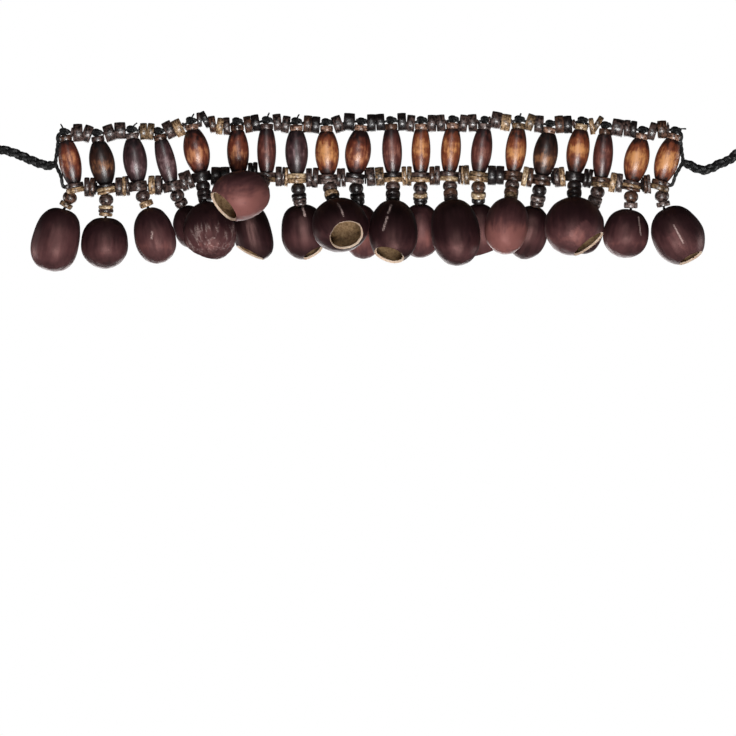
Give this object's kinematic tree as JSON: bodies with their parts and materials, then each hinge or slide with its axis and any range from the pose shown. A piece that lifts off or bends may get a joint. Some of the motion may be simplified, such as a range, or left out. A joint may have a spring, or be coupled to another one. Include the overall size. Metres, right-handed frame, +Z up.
{
  "type": "seed ankle rattle",
  "caption": "Ankle rattle: oval wooden beads strung between rows of shell discs, a hollow seed pod hanging under each bead and a braided cord tie at each end.",
  "frame": {"origin": "on the front of the ankle, behind the middle of the band and about level with the middle of its oval beads", "axes": "+Z up the leg, X along the band as it is laid out flat, -Y out from the ankle"},
  "size_m": [0.3531, 0.0496, 0.07],
  "materials": {
    "oval_bead_wood": "polished, dark ends and a mottled orange middle",
    "pod_shell": "satin, dark purplish brown nut shell",
    "shell_disc": "matte coconut shell and dark wooden beads",
    "waxed_cord": "black waxed cotton braid"
  },
  "bodies": {
    "band_01_02": {"oval_bead_01": "oval_bead_wood", "oval_bead_02": "oval_bead_wood", "string_01_02": "shell_disc", "tie_left": "waxed_cord"},
    "band_03": {"oval_bead_03": "oval_bead_wood", "string_03": "shell_disc"},
    "band_04": {"oval_bead_04": "oval_bead_wood", "string_04": "shell_disc"},
    "band_05": {"oval_bead_05": "oval_bead_wood", "string_05": "shell_disc"},
    "band_06": {"oval_bead_06": "oval_bead_wood", "string_06": "shell_disc"},
    "band_07": {"oval_bead_07": "oval_bead_wood", "string_07": "shell_disc"},
    "band_08": {"oval_bead_08": "oval_bead_wood", "string_08": "shell_disc"},
    "band_09": {"oval_bead_09": "oval_bead_wood", "string_09": "shell_disc"},
    "band_10": {"oval_bead_10": "oval_bead_wood", "string_10": "shell_disc"},
    "band_11": {"oval_bead_11": "oval_bead_wood", "string_11": "shell_disc"},
    "band_12": {"oval_bead_12": "oval_bead_wood", "string_12": "shell_disc"},
    "band_13": {"oval_bead_13": "oval_bead_wood", "string_13": "shell_disc"},
    "band_14": {"oval_bead_14": "oval_bead_wood", "string_14": "shell_disc"},
    "band_15": {"oval_bead_15": "oval_bead_wood", "string_15": "shell_disc"},
    "band_16": {"oval_bead_16": "oval_bead_wood", "string_16": "shell_disc"},
    "band_17": {"oval_bead_17": "oval_bead_wood", "string_17": "shell_disc"},
    "band_18": {"oval_bead_18": "oval_bead_wood", "string_18": "shell_disc"},
    "band_19_20": {"oval_bead_19": "oval_bead_wood", "oval_bead_20": "oval_bead_wood", "string_19_20": "shell_disc", "tie_right": "waxed_cord"},
    "pod_01": {"seed_pod_01": "pod_shell"},
    "pod_02": {"seed_pod_02": "pod_shell"},
    "pod_03": {"seed_pod_03": "pod_shell"},
    "pod_04": {"seed_pod_04": "pod_shell"},
    "pod_05": {"seed_pod_05": "pod_shell"},
    "pod_06": {"seed_pod_06": "pod_shell"},
    "pod_07": {"seed_pod_07": "pod_shell"},
    "pod_08": {"seed_pod_08": "pod_shell"},
    "pod_09": {"seed_pod_09": "pod_shell"},
    "pod_10": {"seed_pod_10": "pod_shell"},
    "pod_11": {"seed_pod_11": "pod_shell"},
    "pod_12": {"seed_pod_12": "pod_shell"},
    "pod_13": {"seed_pod_13": "pod_shell"},
    "pod_14": {"seed_pod_14": "pod_shell"},
    "pod_15": {"seed_pod_15": "pod_shell"},
    "pod_16": {"seed_pod_16": "pod_shell"},
    "pod_17": {"seed_pod_17": "pod_shell"},
    "pod_18": {"seed_pod_18": "pod_shell"},
    "pod_19": {"seed_pod_19": "pod_shell"},
    "pod_20": {"seed_pod_20": "pod_shell"}
  },
  "joints": [
    {"name": "bend_11", "type": "hinge", "parent": "band_10", "child": "band_11", "pos_m": [0.00247, -0.0017, 0.00265], "axis": [0, 0, 1], "range_deg": [0, 15.5]},
    {"name": "bend_12", "type": "hinge", "parent": "band_11", "child": "band_12", "pos_m": [0.01604, -0.0017, 0.0029], "axis": [0, 0, 1], "range_deg": [0, 15.5]},
    {"name": "bend_13", "type": "hinge", "parent": "band_12", "child": "band_13", "pos_m": [0.02903, -0.0017, 0.0031], "axis": [0, 0, 1], "range_deg": [0, 15.5]},
    {"name": "bend_14", "type": "hinge", "parent": "band_13", "child": "band_14", "pos_m": [0.04242, -0.0017, 0.0032], "axis": [0, 0, 1], "range_deg": [0, 15.5]},
    {"name": "bend_15", "type": "hinge", "parent": "band_14", "child": "band_15", "pos_m": [0.05678, -0.0017, 0.00319], "axis": [0, 0, 1], "range_deg": [0, 15.5]},
    {"name": "bend_16", "type": "hinge", "parent": "band_15", "child": "band_16", "pos_m": [0.07084, -0.0017, 0.00239], "axis": [0, 0, 1], "range_deg": [0, 15.5]},
    {"name": "bend_17", "type": "hinge", "parent": "band_16", "child": "band_17", "pos_m": [0.0846, -0.0017, 0.00219], "axis": [0, 0, 1], "range_deg": [0, 15.5]},
    {"name": "bend_18", "type": "hinge", "parent": "band_17", "child": "band_18", "pos_m": [0.09712, -0.0017, 0.00179], "axis": [0, 0, 1], "range_deg": [0, 15.5]},
    {"name": "bend_19_20", "type": "hinge", "parent": "band_18", "child": "band_19_20", "pos_m": [0.11002, -0.0017, -0.00021], "axis": [0, 0, 1], "range_deg": [0, 15.5]},
    {"name": "bend_09", "type": "hinge", "parent": "band_10", "child": "band_09", "pos_m": [-0.01215, -0.0017, 0.00219], "axis": [0, 0, -1], "range_deg": [0, 15.5]},
    {"name": "bend_08", "type": "hinge", "parent": "band_09", "child": "band_08", "pos_m": [-0.02564, -0.0017, 0.0022], "axis": [0, 0, -1], "range_deg": [0, 15.5]},
    {"name": "bend_07", "type": "hinge", "parent": "band_08", "child": "band_07", "pos_m": [-0.03891, -0.0017, 0.00265], "axis": [0, 0, -1], "range_deg": [0, 15.5]},
    {"name": "bend_06", "type": "hinge", "parent": "band_07", "child": "band_06", "pos_m": [-0.05182, -0.0017, 0.00265], "axis": [0, 0, -1], "range_deg": [0, 15.5]},
    {"name": "bend_05", "type": "hinge", "parent": "band_06", "child": "band_05", "pos_m": [-0.06706, -0.0017, 0.00264], "axis": [0, 0, -1], "range_deg": [0, 15.5]},
    {"name": "bend_04", "type": "hinge", "parent": "band_05", "child": "band_04", "pos_m": [-0.08337, -0.0017, 0.00065], "axis": [0, 0, -1], "range_deg": [0, 15.5]},
    {"name": "bend_03", "type": "hinge", "parent": "band_04", "child": "band_03", "pos_m": [-0.09685, -0.0017, -0.00133], "axis": [0, 0, -1], "range_deg": [0, 15.5]},
    {"name": "bend_01_02", "type": "hinge", "parent": "band_03", "child": "band_01_02", "pos_m": [-0.11081, -0.0017, -0.00176], "axis": [0, 0, -1], "range_deg": [0, 15.5]},
    {"name": "swing_01", "type": "hinge", "parent": "band_01_02", "child": "pod_01", "pos_m": [-0.13489, -0.0057, -0.02423], "axis": [-1, 0, 0], "range_deg": [-12, 12]},
    {"name": "swing_02", "type": "hinge", "parent": "band_01_02", "child": "pod_02", "pos_m": [-0.11639, -0.0057, -0.02807], "axis": [-1, 0, 0], "range_deg": [-12, 12]},
    {"name": "swing_03", "type": "hinge", "parent": "band_03", "child": "pod_03", "pos_m": [-0.09748, -0.0057, -0.0237], "axis": [-1, 0, 0], "range_deg": [-12, 12]},
    {"name": "swing_04", "type": "hinge", "parent": "band_04", "child": "pod_04", "pos_m": [-0.08215, -0.00225, -0.02307], "axis": [-1, 0, 0], "range_deg": [-10, 0]},
    {"name": "swing_05", "type": "hinge", "parent": "band_05", "child": "pod_05", "pos_m": [-0.07227, -0.01113, -0.02144], "axis": [-1, 0, 0], "range_deg": [0, 10]},
    {"name": "swing_06", "type": "hinge", "parent": "band_06", "child": "pod_06", "pos_m": [-0.0547, -0.00157, -0.02243], "axis": [-1, 0, 0], "range_deg": [-10, 0]},
    {"name": "swing_07", "type": "hinge", "parent": "band_07", "child": "pod_07", "pos_m": [-0.04944, -0.01651, -0.01509], "axis": [-1, 0, 0], "range_deg": [0, 10]},
    {"name": "swing_08", "type": "hinge", "parent": "band_08", "child": "pod_08", "pos_m": [-0.03071, -0.00157, -0.02272], "axis": [-1, 0, 0], "range_deg": [-10, 0]},
    {"name": "swing_09", "type": "hinge", "parent": "band_09", "child": "pod_09", "pos_m": [-0.01583, -0.01277, -0.02147], "axis": [-1, 0, 0], "range_deg": [0, 12]},
    {"name": "swing_10", "type": "hinge", "parent": "band_10", "child": "pod_10", "pos_m": [-0.00506, -0.00113, -0.02245], "axis": [-1, 0, 0], "range_deg": [-10, 0]},
    {"name": "swing_11", "type": "hinge", "parent": "band_11", "child": "pod_11", "pos_m": [0.0101, -0.01176, -0.02149], "axis": [-1, 0, 0], "range_deg": [0, 12]},
    {"name": "swing_12", "type": "hinge", "parent": "band_12", "child": "pod_12", "pos_m": [0.0222, -0.00135, -0.02222], "axis": [-1, 0, 0], "range_deg": [-10, 0]},
    {"name": "swing_13", "type": "hinge", "parent": "band_13", "child": "pod_13", "pos_m": [0.03574, -0.01113, -0.02133], "axis": [-1, 0, 0], "range_deg": [0, 12]},
    {"name": "swing_14", "type": "hinge", "parent": "band_14", "child": "pod_14", "pos_m": [0.04771, -0.00157, -0.02201], "axis": [-1, 0, 0], "range_deg": [-10, 0]},
    {"name": "swing_15", "type": "hinge", "parent": "band_15", "child": "pod_15", "pos_m": [0.06161, -0.01258, -0.0205], "axis": [-1, 0, 0], "range_deg": [0, 12]},
    {"name": "swing_16", "type": "hinge", "parent": "band_16", "child": "pod_16", "pos_m": [0.0731, -0.00135, -0.02327], "axis": [-1, 0, 0], "range_deg": [-10, 0]},
    {"name": "swing_17", "type": "hinge", "parent": "band_17", "child": "pod_17", "pos_m": [0.08968, -0.01277, -0.02081], "axis": [-1, 0, 0], "range_deg": [0, 12]},
    {"name": "swing_18", "type": "hinge", "parent": "band_18", "child": "pod_18", "pos_m": [0.09783, -0.00113, -0.02375], "axis": [-1, 0, 0], "range_deg": [-10, 0]},
    {"name": "swing_19", "type": "hinge", "parent": "band_19_20", "child": "pod_19", "pos_m": [0.11474, -0.0057, -0.0245], "axis": [-1, 0, 0], "range_deg": [-12, 12]},
    {"name": "swing_20", "type": "hinge", "parent": "band_19_20", "child": "pod_20", "pos_m": [0.12949, -0.0057, -0.02414], "axis": [-1, 0, 0], "range_deg": [-12, 12]}
  ],
  "couplings": [
    {"joint": "bend_12", "follows": "bend_11", "ratio": 1},
    {"joint": "bend_13", "follows": "bend_11", "ratio": 1},
    {"joint": "bend_14", "follows": "bend_11", "ratio": 1},
    {"joint": "bend_15", "follows": "bend_11", "ratio": 1},
    {"joint": "bend_16", "follows": "bend_11", "ratio": 1},
    {"joint": "bend_17", "follows": "bend_11", "ratio": 1},
    {"joint": "bend_18", "follows": "bend_11", "ratio": 1},
    {"joint": "bend_19_20", "follows": "bend_11", "ratio": 1},
    {"joint": "bend_09", "follows": "bend_11", "ratio": 1},
    {"joint": "bend_08", "follows": "bend_11", "ratio": 1},
    {"joint": "bend_07", "follows": "bend_11", "ratio": 1},
    {"joint": "bend_06", "follows": "bend_11", "ratio": 1},
    {"joint": "bend_05", "follows": "bend_11", "ratio": 1},
    {"joint": "bend_04", "follows": "bend_11", "ratio": 1},
    {"joint": "bend_03", "follows": "bend_11", "ratio": 1},
    {"joint": "bend_01_02", "follows": "bend_11", "ratio": 1}
  ]
}
